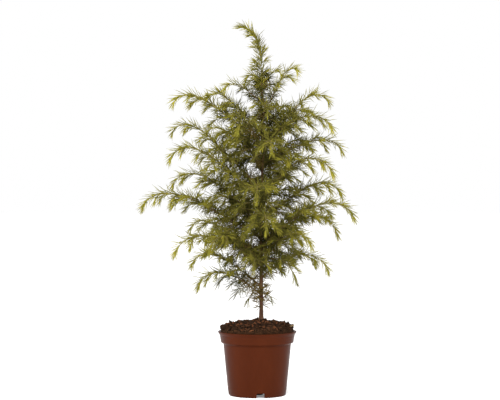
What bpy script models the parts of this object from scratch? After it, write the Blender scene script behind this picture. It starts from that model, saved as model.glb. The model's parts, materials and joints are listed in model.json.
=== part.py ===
"""A young deodar cedar in a round nursery pot.

The origin is the middle of the pot's flat underside, +Z is up and the front of the plant faces -Y. Each
branch climbs away from the trunk, arches over and nods at its tip. Its inner, bare part is a bough, and the
rest is a mass: a stem with side twigs, whose three-sided cores carry one toothed spray of needles each.
"""

import math
import random

import bmesh
import bpy
from mathutils import Vector
from mathutils.bvhtree import BVHTree

MM = 0.001
UP = Vector((0, 0, 1))
GAP = 0.3 * MM  # between solids that touch on the real plant
SEED = 12

# Pot: radii and heights of its outside, from the foot to the lip.
POT_SEGMENTS = 28
POT_WALL = 2.0 * MM
LIP_RADIUS = 95.0 * MM
LIP_DEPTH = 9.0 * MM
LIP_EDGE = 1.2 * MM
POT_HEIGHT = 153.5 * MM
BAND_TOP_RADIUS = 90.4 * MM
BAND_FOOT_RADIUS = 87.7 * MM
BAND_FOOT_HEIGHT = 127.0 * MM
SHOULDER_RADIUS = 81.7 * MM
SHOULDER_HEIGHT = 124.0 * MM
HEEL_RADIUS = 71.1 * MM
HEEL_HEIGHT = 14.0 * MM
FOOT_RADIUS = 68.6 * MM
FOOT_WIDTH = 4.0 * MM
FOOT_EDGE = (1.0 * MM, 1.5 * MM)  # across and up
FLOOR_UNDERSIDE = 12.0 * MM
HUB_RADIUS = 14.0 * MM
NOTCHES = 4
NOTCH_WIDTH = 19.0 * MM
NOTCH_HEIGHT = 11.4 * MM
NOTCH_DEPTH = 24.0 * MM
NOTCH_HEADING = -83.6  # degrees from +X, so the first notch is a little right of the front

# Compost: a low heap that stands above the lip, with a mound in its middle.
HEAP_RISE = 17.0 * MM
HEAP_RADIUS = 94.0 * MM
MOUND_RISE = 9.0 * MM
MOUND_REACH = 28.0 * MM
HEAP_RINGS = (18 * MM, 38 * MM, 56 * MM, 71 * MM, 81 * MM)
HEAP_LUMP = 3.0 * MM
HEAP_FOOT = 2.5 * MM  # height of its edge above the mouth of the pot
HEAP_PAD = 23.0 * MM  # radius of the level patch that the trunk stands on

# Trunk
TRUNK_FOOT = Vector((9.5 * MM, 3.0 * MM, 177.6 * MM))
TRUNK_TOP = Vector((11.5 * MM, 1.0 * MM, 752.0 * MM))
TRUNK_RADIUS = 5.0 * MM
TRUNK_TOP_RADIUS = 1.7 * MM
FLARE = 3.2 * MM
FLARE_REACH = 9.0 * MM
TRUNK_SWAY = 1.6 * MM
TRUNK_SIDES = 8
TRUNK_RINGS = 14
TRUNK_CROWDING = 1.35  # how much closer the rings stand near its foot
TRUNK_SPACE = 0.5 * MM  # clear space kept round it

# Branches: where each one leaves the trunk (height in mm), its heading (degrees from +X, with -Y the front),
# its length in mm along the arch to its last needle, the angle it climbs at first, and how late it bends.
BRANCHES = {
    "left_0": (747, 172, 66, 78, 1.6),
    "left_1": (705, 200, 122, 38, 4.3),
    "left_2": (630, 165, 194, 47, 5.8),
    "left_3": (607, 190, 270, 38, 6.0),
    "left_4": (498, 168, 297, 45, 7.0),
    "left_5": (470, 198, 291, 42, 4.6),
    "left_6": (420, 160, 288, 40, 4.3),
    "left_7": (382, 186, 332, 30, 5.0),
    "left_8": (330, 150, 243, 34, 5.3),
    "left_9": (338, 207, 260, 22, 3.5),
    "left_10": (264, 160, 220, 36, 3.8),
    "left_11": (244, 192, 189, 38, 2.6),
    "left_12": (230, 222, 58, 42, 1.8),
    "left_13": (566, 174, 174, 40, 6.7),
    "right_1": (743, 20, 80, 59, 3.7),
    "right_2": (672, -25, 166, 62, 8.1),
    "right_3": (604, -20, 219, 39, 2.8),
    "right_4": (592, 18, 246, 52, 5.4),
    "right_5": (557, 8, 228, 27, 4.3),
    "right_6": (470, -32, 261, 51, 2.5),
    "right_7": (421, 22, 262, 37, 3.8),
    "right_8": (363, -8, 278, 40, 3.5),
    "right_9": (352, 28, 266, 39, 2.5),
    "right_10": (340, -38, 184, 39, 2.6),
    "right_11": (286, 14, 205, 38, 2.2),
    "right_12": (232, -42, 46, 50, 1.6),
    "front_1": (650, -84, 140, 40, 3.0),
    "front_2": (585, -112, 202, 42, 3.2),
    "front_3": (545, -82, 196, 42, 3.0),
    "front_4": (430, -94, 226, 40, 3.0),
    "front_5": (376, -86, 214, 38, 2.6),
    "front_6": (322, -135, 214, 38, 2.8),
    "front_7": (296, -100, 136, 38, 2.4),
    "back_1": (722, 96, 122, 44, 3.2),
    "back_2": (618, 60, 206, 46, 3.4),
    "back_3": (540, 118, 250, 43, 3.4),
    "back_4": (455, 74, 264, 43, 3.4),
    "back_5": (386, 108, 270, 40, 3.2),
    "back_6": (318, 66, 246, 38, 2.8),
    "inner_1": (302, 180, 106, 58, 2.4),
    "inner_2": (405, 156, 192, 44, 3.7),
    "inner_3": (318, -44, 144, 28, 1.2),
    "inner_4": (547, 34, 169, 40, 4.9),
}
NOD = -76  # degrees, the way every tip points in the end
SHORT_BRANCH = 252 * MM  # a branch under this is a mass from the trunk on, with no bare bough
BARE_SHARE = 0.2
LIMB_TIP_RADIUS = 1.0 * MM
LIMB_TAPER = 0.0068  # gained in radius for each unit of length back from the tip
BOUGH_SIDES = 5
BOUGH_STEPS = 4

# Leader: the trunk's last shoot, which leans over to the left.
LEADER_HEADING = 184
LEADER_LENGTH = 156 * MM
LEADER_CLIMB = 87
LEADER_NOD = -9
LEADER_BEND = 4.0
LEADER_RADIUS = 1.8 * MM

# Needles
STEM_SIDES = 3
STEM_STEP = 18.5 * MM  # between the rings of needles
STEM_CORE = 0.5 * MM  # added to the limb's radius inside a mass
NEEDLE_LENGTH = 28 * MM
NEEDLE_ANGLE = 46  # degrees between a needle and its twig
NEEDLE_SPREAD = 9  # degrees more or less
NEEDLE_LEAN = 0.1
TIP_LENGTH = 16 * MM
TIP_SHORTENING = 0.45  # share that needles lose towards the end of their twig
SHORT_NEEDLE = 0.6  # share of its length that a needle keeps where the whole of it has no room
SHEATH = 1.2 * MM  # clear space kept round each needle
SHEATH_FOOT = 1.35  # how much wider that space is at the needle's root
STEM_SPACE = 2.5 * MM  # clear space kept round each stem

# Side twigs, in two ranks
TWIG_SIDES = 3
TWIG_STEP = 18.5 * MM
TWIG_RADIUS = 1.5 * MM
TWIG_TIP_RADIUS = 1.0 * MM
TWIG_SPACING = 39 * MM
TWIG_FIRST = 16 * MM
TWIG_LAST = 12 * MM  # clear of the stem's tip
TWIG_SHARE = 0.3  # of the stem still ahead, gained in length
TWIG_BASE_LENGTH = 22 * MM
TWIG_SHORTEST = 34 * MM
TWIG_LONGEST = 84 * MM
TWIG_ANGLE = 48
TWIG_TILTS = (0.1, 0.4, -0.2)  # the first one that gives it room is taken
TWIG_DROOP = 0.75


def material(name, colour, roughness):
    """A plain Principled material."""
    new = bpy.data.materials.new(name)
    new.use_nodes = True
    shader = new.node_tree.nodes["Principled BSDF"]
    shader.inputs["Base Color"].default_value = (*colour, 1)
    shader.inputs["Roughness"].default_value = roughness
    shader.inputs["Metallic"].default_value = 0
    new.diffuse_color = (*colour, 1)
    return new


def add_object(name, solid, finish, origin=Vector((0, 0, 0))):
    """A mesh object of this solid, whose own origin lies at the given point."""
    points, faces = solid
    mesh = bpy.data.meshes.new(name)
    mesh.from_pydata([point - origin for point in points], [], faces)
    mesh.materials.append(finish)
    made = bpy.data.objects.new(name, mesh)
    made.location = origin
    bpy.context.scene.collection.objects.link(made)
    return made


def heading_vector(degrees):
    """The level direction with this heading."""
    turn = math.radians(degrees)
    return Vector((math.cos(turn), math.sin(turn), 0))


class Run:
    """A curve through space, walked by its length."""

    STEPS = 96

    def __init__(self, start, direction, length):
        """direction(t) is the way the curve goes at the share t of its length."""
        self.length = length
        self.points = [start]
        for i in range(self.STEPS):
            ahead = direction((i + 0.5) / self.STEPS) * (length / self.STEPS)
            self.points.append(self.points[-1] + ahead)

    def at(self, walked):
        """The point after this length, and the direction there."""
        place = min(max(walked / self.length, 0), 1) * self.STEPS
        i = min(int(place), self.STEPS - 1)
        a, b = self.points[i], self.points[i + 1]
        return a.lerp(b, place - i), (b - a).normalized()


def arch(start, heading, length, climb, bend, nod=NOD):
    """The run of a branch: it climbs, arches over and nods."""

    def direction(t):
        slope = math.radians(climb + (nod - climb) * t**bend)
        return heading_vector(heading) * math.cos(slope) + UP * math.sin(slope)

    return Run(start, direction, length)


def rings_along(run, stations, radii, sides, side, end_normal=None, half_turns=False):
    """Rings of points round a run, with the first one square to end_normal where that is given."""
    rings = []
    for i, (walked, radius) in enumerate(zip(stations, radii)):
        centre, ahead = run.at(walked)
        side = (side - side.dot(ahead) * ahead).normalized()
        across, rise = side, ahead.cross(side)
        if i == 0 and end_normal is not None:
            rise = UP
            across = rise.cross(end_normal)
        turn = math.pi / sides * (i % 2) if half_turns else 0
        angles = [turn + 2 * math.pi * k / sides for k in range(sides)]
        rings.append([centre + radius * (math.cos(a) * across + math.sin(a) * rise) for a in angles])
    return rings


def facing_out(points, faces):
    """The same faces, turned so that the closed solid has a positive volume."""
    volume = 0
    for face in faces:
        for i in range(1, len(face) - 1):
            a, b, c = points[face[0]], points[face[i]], points[face[i + 1]]
            volume += a.dot(b.cross(c))
    return faces if volume > 0 else [tuple(reversed(face)) for face in faces]


def limb(rings):
    """A plain closed limb through rings of equal count."""
    sides = len(rings[0])
    points = [point for ring in rings for point in ring]
    faces = [tuple(range(sides)), tuple(reversed(range(len(points) - sides, len(points))))]
    for i in range(len(rings) - 1):
        for k in range(sides):
            j = (k + 1) % sides
            a, b = i * sides + k, i * sides + j
            faces.append((b, a, a + sides, b + sides))
    return points, facing_out(points, faces)


def lathe(profile, segments=POT_SEGMENTS):
    """A solid turned round Z from (radius, height) pairs that start and end on the axis."""
    points = [Vector((0, 0, profile[0][1])), Vector((0, 0, profile[-1][1]))]
    rows = []
    for radius, height in profile[1:-1]:
        rows.append(len(points))
        for k in range(segments):
            points.append(heading_vector(360 * k / segments) * radius + UP * height)
    faces = []
    for k in range(segments):
        j = (k + 1) % segments
        faces.append((0, rows[0] + j, rows[0] + k))
        for low, high in zip(rows, rows[1:]):
            faces.append((low + k, low + j, high + j, high + k))
        faces.append((rows[-1] + k, rows[-1] + j, 1))
    return points, facing_out(points, faces)


def box(centre, heading, length, width, height):
    """A box with its length along a heading, standing on its centre's height."""
    along, across = heading_vector(heading), heading_vector(heading + 90)
    points = []
    for z in (0, height):
        for u, v in ((-1, -1), (1, -1), (1, 1), (-1, 1)):
            points.append(centre + along * u * length / 2 + across * v * width / 2 + UP * z)
    sides = [(k, (k + 1) % 4, (k + 1) % 4 + 4, k + 4) for k in range(4)]
    return points, facing_out(points, [(3, 2, 1, 0), (4, 5, 6, 7)] + sides)


def join(target, others, operation, own_crossings=False):
    """One exact Boolean of the target with all the other objects, applied, with the others then removed."""
    group = bpy.data.collections.new("joined")
    bpy.context.scene.collection.children.link(group)
    for other in others:
        bpy.context.scene.collection.objects.unlink(other)
        group.objects.link(other)
    step = target.modifiers.new(operation.lower(), "BOOLEAN")
    step.operation = operation
    step.operand_type = "COLLECTION"
    step.collection = group
    step.solver = "EXACT"
    step.use_self = own_crossings
    evaluated = target.evaluated_get(bpy.context.evaluated_depsgraph_get())
    mesh = bpy.data.meshes.new_from_object(evaluated)
    target.modifiers.clear()
    old = target.data
    target.data = mesh
    bpy.data.meshes.remove(old)
    mesh.name = target.name
    for other in others:
        bpy.data.meshes.remove(other.data)
    bpy.data.collections.remove(group)


def keep_main_body(target):
    """Drops loose scraps and sealed hollows, and leaves triangles."""
    work = bmesh.new()
    work.from_mesh(target.data)
    bmesh.ops.remove_doubles(work, verts=work.verts, dist=0.002 * MM)
    bmesh.ops.dissolve_degenerate(work, edges=work.edges, dist=0.002 * MM)
    bmesh.ops.triangulate(work, faces=work.faces)
    bodies, seen = [], set()
    for face in work.faces:
        if face in seen:
            continue
        body, front = {face}, [face]
        while front:
            for edge in front.pop().edges:
                for other in edge.link_faces:
                    if other not in body:
                        body.add(other)
                        front.append(other)
        seen |= body
        bodies.append(body)
    main = max(bodies, key=len)
    bmesh.ops.delete(work, geom=[face for face in work.faces if face not in main], context="FACES")
    work.to_mesh(target.data)
    work.free()


def make_pot(finish):
    """The pot, with a raised floor, a hub and four drainage notches through its foot ring."""
    profile = [
        (0, 0),
        (HUB_RADIUS, 0),
        (HUB_RADIUS, FLOOR_UNDERSIDE),
        (FOOT_RADIUS - FOOT_WIDTH, FLOOR_UNDERSIDE),
        (FOOT_RADIUS - FOOT_WIDTH, 0),
        (FOOT_RADIUS - FOOT_EDGE[0], 0),
        (FOOT_RADIUS, FOOT_EDGE[1]),
        (HEEL_RADIUS, HEEL_HEIGHT),
        (SHOULDER_RADIUS, SHOULDER_HEIGHT),
        (BAND_FOOT_RADIUS, BAND_FOOT_HEIGHT),
        (BAND_TOP_RADIUS, POT_HEIGHT - LIP_DEPTH),
        (LIP_RADIUS, POT_HEIGHT - LIP_EDGE),
        (LIP_RADIUS - LIP_EDGE, POT_HEIGHT),
        *pot_inside(POT_WALL),
        (0, FLOOR_UNDERSIDE + POT_WALL),
    ]
    pot = add_object("pot", lathe(profile), finish)
    cutters = []
    for i in range(NOTCHES):
        heading = NOTCH_HEADING + 360 * i / NOTCHES
        middle = heading_vector(heading) * FOOT_RADIUS - UP * NOTCH_HEIGHT
        notch = box(middle, heading, NOTCH_DEPTH, NOTCH_WIDTH, 2 * NOTCH_HEIGHT)
        cutters.append(add_object("notch", notch, finish))
    join(pot, cutters, "DIFFERENCE")
    keep_main_body(pot)
    return pot


def pot_inside(inset):
    """The pot's inner outline from its mouth down to its floor, this far inside the outer one."""
    return [
        (BAND_TOP_RADIUS - inset, POT_HEIGHT),
        (BAND_FOOT_RADIUS - inset, BAND_FOOT_HEIGHT + inset / 2),
        (SHOULDER_RADIUS - inset, SHOULDER_HEIGHT + inset / 2),
        (HEEL_RADIUS - inset, FLOOR_UNDERSIDE + inset),
    ]


def make_compost(finish):
    """The compost: it fills the pot and heaps up in the middle, with a level pad under the trunk."""
    random_lump = random.Random(SEED)
    inset = POT_WALL + GAP
    inside = list(reversed(pot_inside(inset)))
    profile = [(0, inside[0][1]), *inside, (BAND_TOP_RADIUS - inset - 1 * MM, POT_HEIGHT + HEAP_FOOT)]
    profile += [(radius, heap_height(radius)) for radius in reversed(HEAP_RINGS)]
    profile.append((0, heap_height(0)))
    points, faces = lathe(profile)
    for point in points:
        if point.z <= POT_HEIGHT + HEAP_FOOT:
            continue
        point.z += random_lump.uniform(-1, 1) * HEAP_LUMP
        if (point - TRUNK_FOOT).to_2d().length < HEAP_PAD:
            point.z = TRUNK_FOOT.z - GAP
    return add_object("compost", (points, faces), finish)


def heap_height(radius):
    """Height of the heap: a flat dome above the lip, with a mound in the middle."""
    dome = HEAP_RISE * math.sqrt(1 - (radius / HEAP_RADIUS) ** 4)
    return POT_HEIGHT + dome + MOUND_RISE * math.exp(-((radius / MOUND_REACH) ** 2))


def trunk_axis(height):
    """The trunk's middle at this height: it leans and sways a little."""
    t = (height - TRUNK_FOOT.z) / (TRUNK_TOP.z - TRUNK_FOOT.z)
    sway = TRUNK_SWAY * math.sin(math.pi * min(max(t, 0), 1))
    return TRUNK_FOOT.lerp(TRUNK_TOP, t) + Vector((sway * math.cos(9 * t), sway * math.sin(7 * t), 0))


def trunk_radius(height):
    """True taper with a flare at the root."""
    t = (height - TRUNK_FOOT.z) / (TRUNK_TOP.z - TRUNK_FOOT.z)
    flare = FLARE * math.exp(-(height - TRUNK_FOOT.z) / FLARE_REACH)
    return TRUNK_RADIUS + (TRUNK_TOP_RADIUS - TRUNK_RADIUS) * t + flare


def trunk_solid(extra=0.0):
    """The trunk, or with extra radius the space kept round it."""
    rings = []
    for i in range(TRUNK_RINGS):
        share = (i / (TRUNK_RINGS - 1)) ** TRUNK_CROWDING
        height = TRUNK_FOOT.z + (TRUNK_TOP.z - TRUNK_FOOT.z) * share
        radius = trunk_radius(height) + extra
        centre = trunk_axis(height)
        rings.append([centre + heading_vector(360 * k / TRUNK_SIDES) * radius for k in range(TRUNK_SIDES)])
    return limb(rings)


def tree_of(solid):
    """The search tree that tells whether another solid crosses this one."""
    return BVHTree.FromPolygons(*solid)


def space_of(made):
    """The search tree of an object, where it stands."""
    points = [made.location + vertex.co for vertex in made.data.vertices]
    return tree_of((points, [tuple(polygon.vertices) for polygon in made.data.polygons]))


def limb_radius(left):
    """Radius of a branch with this much length still ahead."""
    return LIMB_TIP_RADIUS + LIMB_TAPER * left


class Branch:
    """One branch: its run, the bough on its inner part and the mass on the rest."""

    def __init__(self, name, height, heading, length, climb, bend):
        self.name = name
        self.length = length * MM - TIP_LENGTH / 2
        self.has_bough = length * MM >= SHORT_BRANCH
        self.bare = BARE_SHARE * self.length if self.has_bough else 0.0
        self.out = heading_vector(heading)
        self.side = UP.cross(self.out)
        start = trunk_axis(height * MM) + self.out * (trunk_radius(height * MM) + GAP)
        self.run = arch(start, heading, self.length, climb, bend)

    def radius(self, walked):
        return limb_radius(self.length - walked)

    def stem_start(self):
        return self.bare + GAP if self.has_bough else 0.0

    def bough(self):
        """The bare, tapering inner part."""
        stations = [self.bare * i / BOUGH_STEPS for i in range(BOUGH_STEPS + 1)]
        radii = [self.radius(walked) for walked in stations]
        return limb(rings_along(self.run, stations, radii, BOUGH_SIDES, self.side, self.out))

    def stem_rings(self, extra=0.0):
        """Rings of the stem's core."""
        first = self.stem_start()
        count = max(2, round((self.length - first) / STEM_STEP))
        stations = [first + (self.length - first) * i / count for i in range(count + 1)]
        radii = [self.radius(walked) + STEM_CORE + extra for walked in stations]
        square_to = None if self.has_bough else self.out
        return rings_along(self.run, stations, radii, STEM_SIDES, self.side, square_to, half_turns=True)


class Leader(Branch):
    """The shoot that carries on from the trunk's end."""

    def __init__(self):
        self.name = "leader"
        self.length = LEADER_LENGTH
        self.has_bough = False
        self.bare = 0.0
        self.out = heading_vector(LEADER_HEADING)
        self.side = UP.cross(self.out)
        start = TRUNK_TOP + UP * GAP
        self.run = arch(start, LEADER_HEADING, self.length, LEADER_CLIMB, LEADER_BEND, LEADER_NOD)

    def radius(self, walked):
        return LEADER_RADIUS + (LIMB_TIP_RADIUS - LEADER_RADIUS) * walked / self.length

    def stem_rings(self, extra=0.0):
        count = round(self.length / STEM_STEP)
        stations = [self.length * i / count for i in range(count + 1)]
        radii = [self.radius(walked) + extra for walked in stations]
        rings = rings_along(self.run, stations, radii, STEM_SIDES, self.side, half_turns=True)
        for point in rings[0]:
            point.z = TRUNK_TOP.z + GAP
        return rings


def sheath(base, tip):
    """The space kept round a needle: a tapered block over its base triangle and past its tip."""
    middle = sum(base, Vector()) / 3
    ahead = (tip - middle).normalized()
    low = [middle + (point - middle) * SHEATH_FOOT for point in base]
    reach = max((point - middle).length for point in base)
    high = [tip + ahead * SHEATH + (point - middle) * (SHEATH / reach) for point in base]
    faces = [(0, 1, 2), (5, 4, 3), (0, 3, 4, 1), (1, 4, 5, 2), (2, 5, 3, 0)]
    return tree_of((low + high, faces))


def core_space(rings, run):
    """The space kept for a core, out to the end of its last needle."""
    end, ahead = run.at(run.length)
    last = [point + ahead * TIP_LENGTH for point in rings[-1]]
    return tree_of(limb([*rings, last]))


def is_clear(tree, kept_spaces):
    return not any(tree.overlap(space) for space in kept_spaces)


def needle_tip(corners, middle, ahead, length, kept_spaces, chance):
    """The tip of a needle on these three corners, or None where every length comes near a kept space."""
    root = sum(corners, Vector()) / 3
    away = root - middle
    away = (away - away.dot(ahead) * ahead).normalized()
    angle = math.radians(NEEDLE_ANGLE + chance.uniform(-NEEDLE_SPREAD, NEEDLE_SPREAD))
    lean = ahead * math.cos(angle) + away * math.sin(angle)
    lean += Vector(chance.uniform(-NEEDLE_LEAN, NEEDLE_LEAN) for _ in range(3))
    for share in (1.0, SHORT_NEEDLE):
        apex = root + lean.normalized() * length * share
        if is_clear(sheath(corners, apex), kept_spaces):
            return apex
    return None


def toothed(rings, tip, needle_length, kept_spaces, chance):
    """A closed core through rings turned by half a side each, with a needle on every second triangle.

    The first span between two rings stays bare.
    """
    sides = len(rings[0])
    points = [point for ring in rings for point in ring] + [tip]
    end = len(points) - 1
    faces = [tuple(range(sides))]
    for i in range(len(rings) - 1):
        middle = sum(rings[i], Vector()) / sides
        ahead = (sum(rings[i + 1], Vector()) / sides - middle).normalized()
        size = needle_length * (1 - TIP_SHORTENING * ((i + 1) / len(rings)) ** 3)
        for k in range(sides):
            j = (k + 1) % sides
            upper = k if i % 2 == 0 else j
            base = (i * sides + j, i * sides + k, (i + 1) * sides + upper)
            faces.append((base[2], (i + 1) * sides + (upper + 1) % sides, i * sides + j))
            apex = None
            if i > 0:
                corners = [points[index] for index in base]
                length = size * chance.uniform(0.9, 1.08)
                apex = needle_tip(corners, middle, ahead, length, kept_spaces, chance)
            if apex is None:
                faces.append(base)
            else:
                faces += [(base[0], base[1], len(points)), (base[1], base[2], len(points)),
                          (base[2], base[0], len(points))]
                points.append(apex)
    last = (len(rings) - 1) * sides
    for k in range(sides):
        faces.append((last + (k + 1) % sides, last + k, end))
    return points, facing_out(points, faces)


def twig_run(branch, walked, rank, tilt, length):
    """The run of a side twig: it leaves the stem on one side and droops."""
    root, ahead = branch.run.at(walked)
    upward = ahead.cross(branch.side)
    turn = math.radians(TWIG_ANGLE)
    start = ahead * math.cos(turn) + branch.side * rank * math.sin(turn) + upward * tilt

    def direction(t):
        return (start - UP * TWIG_DROOP * t**1.5).normalized()

    return Run(root, direction, length)


def make_mass(branch, finish, kept_spaces, chance):
    """The mass of one branch: its stem and side twigs with their needles, joined in one solid."""
    first, length = branch.stem_start(), branch.length
    rings = branch.stem_rings()
    tip, ahead = branch.run.at(length)
    stem = toothed(rings, tip + ahead * TIP_LENGTH, NEEDLE_LENGTH, kept_spaces, chance)
    origin = branch.run.at(first)[0]
    mass = add_object("foliage_" + branch.name, stem, finish, origin)
    twigs, own_spaces = [], [tree_of(stem)]
    count = int((length - first - TWIG_FIRST - TWIG_LAST) / TWIG_SPACING) + 1
    rank = chance.choice((-1, 1))
    for i in range(count):
        walked = first + TWIG_FIRST + TWIG_SPACING * (i + chance.uniform(-0.15, 0.15))
        rank = -rank
        reach = min(TWIG_LONGEST, max(TWIG_SHORTEST, TWIG_SHARE * (length - walked) + TWIG_BASE_LENGTH))
        reach *= chance.uniform(0.85, 1.1)
        for tilt in TWIG_TILTS:
            run = twig_run(branch, walked, rank, tilt, reach)
            if twig := make_twig(run, reach, branch, kept_spaces, own_spaces, chance):
                twigs.append(add_object("twig", twig, finish, origin))
                own_spaces.append(tree_of(twig))
                break
    join(mass, twigs, "UNION", own_crossings=True)
    keep_main_body(mass)
    return mass


def make_twig(run, reach, branch, kept_spaces, own_spaces, chance):
    """One side twig with its needles, or nothing where its core would come near a kept space.

    Its needles keep clear of the rest of its own mass too.
    """
    count = max(2, round(reach / TWIG_STEP))
    stations = [reach * i / count for i in range(count + 1)]
    radii = [TWIG_RADIUS + (TWIG_TIP_RADIUS - TWIG_RADIUS) * i / count for i in range(count + 1)]
    wide = [radius + SHEATH for radius in radii]
    space = core_space(rings_along(run, stations, wide, TWIG_SIDES, branch.side.cross(UP)), run)
    if not is_clear(space, kept_spaces):
        return None
    rings = rings_along(run, stations, radii, TWIG_SIDES, branch.side.cross(UP), half_turns=True)
    tip, ahead = run.at(reach)
    size = NEEDLE_LENGTH * chance.uniform(0.85, 0.98)
    return toothed(rings, tip + ahead * TIP_LENGTH, size, kept_spaces + own_spaces, chance)


def main():
    for old in list(bpy.data.objects):
        bpy.data.objects.remove(old)
    plastic = material("brown_plastic", (0.115, 0.030, 0.014), 0.42)
    peat = material("dark_compost", (0.040, 0.021, 0.012), 0.95)
    bark = material("young_bark", (0.200, 0.105, 0.055), 0.85)
    needles = material("cedar_needles", (0.155, 0.150, 0.045), 0.6)

    plant = bpy.data.objects.new("potted_deodar_cedar", None)
    bpy.context.scene.collection.objects.link(plant)
    pot = make_pot(plastic)
    compost = make_compost(peat)
    trunk = add_object("trunk", trunk_solid(), bark)
    parts = [pot, compost, trunk]

    branches = [Branch(name, *row) for name, row in BRANCHES.items()] + [Leader()]
    stem_spaces = [core_space(branch.stem_rings(STEM_SPACE), branch.run) for branch in branches]
    ground = (space_of(pot), space_of(compost), tree_of(trunk_solid(TRUNK_SPACE)))
    bough_spaces = []
    for branch in branches:
        if branch.has_bough:
            solid = branch.bough()
            parts.append(add_object("bough_" + branch.name, solid, bark, branch.run.at(0)[0]))
            bough_spaces.append(tree_of(solid))
    finished = []
    for i, branch in enumerate(branches):
        kept_spaces = [*ground, *bough_spaces, *finished, *stem_spaces[i + 1:]]
        mass = make_mass(branch, needles, kept_spaces, random.Random(SEED * 1000 + i))
        parts.append(mass)
        finished.append(space_of(mass))
    for part in parts:
        part.parent = plant


main()
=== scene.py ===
"""The looks of a young deodar cedar in a round nursery pot.

Sizes are in metres. The origin is the middle of the pot's flat underside, +Z is up and the front faces -Y. The limbs
follow the same rule as the solids, and grow on here to fine twigs, spurs and single needles.
"""

import json
import math
from dataclasses import dataclass

import bpy
import numpy as np
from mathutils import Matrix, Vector, noise

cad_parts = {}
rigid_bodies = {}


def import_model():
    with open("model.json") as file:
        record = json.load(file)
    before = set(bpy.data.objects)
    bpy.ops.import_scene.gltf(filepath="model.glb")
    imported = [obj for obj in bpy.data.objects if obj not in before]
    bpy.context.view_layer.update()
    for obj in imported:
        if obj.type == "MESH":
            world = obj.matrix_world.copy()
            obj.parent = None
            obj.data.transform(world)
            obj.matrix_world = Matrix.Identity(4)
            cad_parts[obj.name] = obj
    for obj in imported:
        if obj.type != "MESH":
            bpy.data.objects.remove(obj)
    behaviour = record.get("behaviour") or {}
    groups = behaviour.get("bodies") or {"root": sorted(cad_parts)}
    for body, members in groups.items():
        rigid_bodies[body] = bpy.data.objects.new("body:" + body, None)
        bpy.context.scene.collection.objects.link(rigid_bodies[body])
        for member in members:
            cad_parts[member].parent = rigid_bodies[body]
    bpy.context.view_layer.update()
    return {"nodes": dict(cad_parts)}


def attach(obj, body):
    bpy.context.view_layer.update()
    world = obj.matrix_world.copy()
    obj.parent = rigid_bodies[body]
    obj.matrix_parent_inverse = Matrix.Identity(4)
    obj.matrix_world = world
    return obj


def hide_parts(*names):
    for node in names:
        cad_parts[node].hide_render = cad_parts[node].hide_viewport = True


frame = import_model()

MM = 0.001
UP = np.array((0.0, 0.0, 1.0))
SEED = 11
GOLDEN_ANGLE = math.radians(137.5)
MOST_TRIANGLES = 190_000  # in one piece

# Camera, at the photograph's viewing angle
CAMERA_PLACE = (-0.0174, -3.8, 0.52)
CAMERA_DIP = 0.76  # degrees below level
CAMERA_LENS = 113.5

# Pot: radii and heights of its outside, from the foot to the lip.
POT_SEGMENTS = 144
POT_WALL = 2.0 * MM
LIP_RADIUS = 95.0 * MM
LIP_DEPTH = 9.0 * MM
LIP_EDGE = 1.2 * MM
POT_HEIGHT = 153.5 * MM
BAND_TOP_RADIUS = 90.4 * MM
BAND_FOOT_RADIUS = 87.7 * MM
BAND_FOOT_HEIGHT = 127.0 * MM
BAND_LINE_HEIGHT = 140.0 * MM
BAND_LINE_DEPTH = 0.5 * MM
SHOULDER_RADIUS = 81.7 * MM
SHOULDER_HEIGHT = 124.0 * MM
HEEL_RADIUS = 71.1 * MM
HEEL_HEIGHT = 14.0 * MM
FOOT_RADIUS = 68.6 * MM
FOOT_WIDTH = 4.0 * MM
FLOOR_UNDERSIDE = 12.0 * MM
HUB_RADIUS = 14.0 * MM
NOTCHES = 4
NOTCH_WIDTH = 19.0 * MM
NOTCH_HEIGHT = 11.4 * MM
NOTCH_DEPTH = 24.0 * MM
NOTCH_CORNER = 2.4 * MM
NOTCH_HEADING = -83.6

POT_TINTS = [(0.3, (0.035, 0.0064, 0.0013)), (0.55, (0.041, 0.0077, 0.0016)), (0.8, (0.048, 0.0093, 0.0021))]

# Compost: a heap that stands above the lip, strewn with chips of bark.
HEAP_RISE = 17.0 * MM
HEAP_RADIUS = 94.0 * MM
MOUND_RISE = 9.0 * MM
MOUND_REACH = 28.0 * MM
HEAP_RINGS = 44
HEAP_SEGMENTS = 144
COMPOST_TINTS = [(0.32, (0.007, 0.0034, 0.0014)), (0.5, (0.018, 0.008, 0.0035)), (0.7, (0.040, 0.017, 0.007))]
CHIP_KINDS = {
    "dark": (1500, (0.016, 0.0075, 0.0035)),
    "brown": (660, (0.042, 0.018, 0.008)),
    "red": (280, (0.092, 0.034, 0.014)),
    "pale": (14, (0.200, 0.140, 0.070)),
}
CHIP_LENGTH = (3.5 * MM, 15.0 * MM)

# Trunk
TRUNK_FOOT = np.array((9.5, 3.0, 177.6)) * MM
TRUNK_TOP = np.array((11.5, 1.0, 752.0)) * MM
TRUNK_RADIUS = 5.0 * MM
TRUNK_TOP_RADIUS = 1.7 * MM
FLARE = 3.2 * MM
FLARE_REACH = 9.0 * MM
TRUNK_SWAY = 1.6 * MM
TRUNK_SIDES = 32
TRUNK_RINGS = 520
COLLAR_SWELL = 1.1 * MM
COLLAR_REACH = 6.0 * MM

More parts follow.
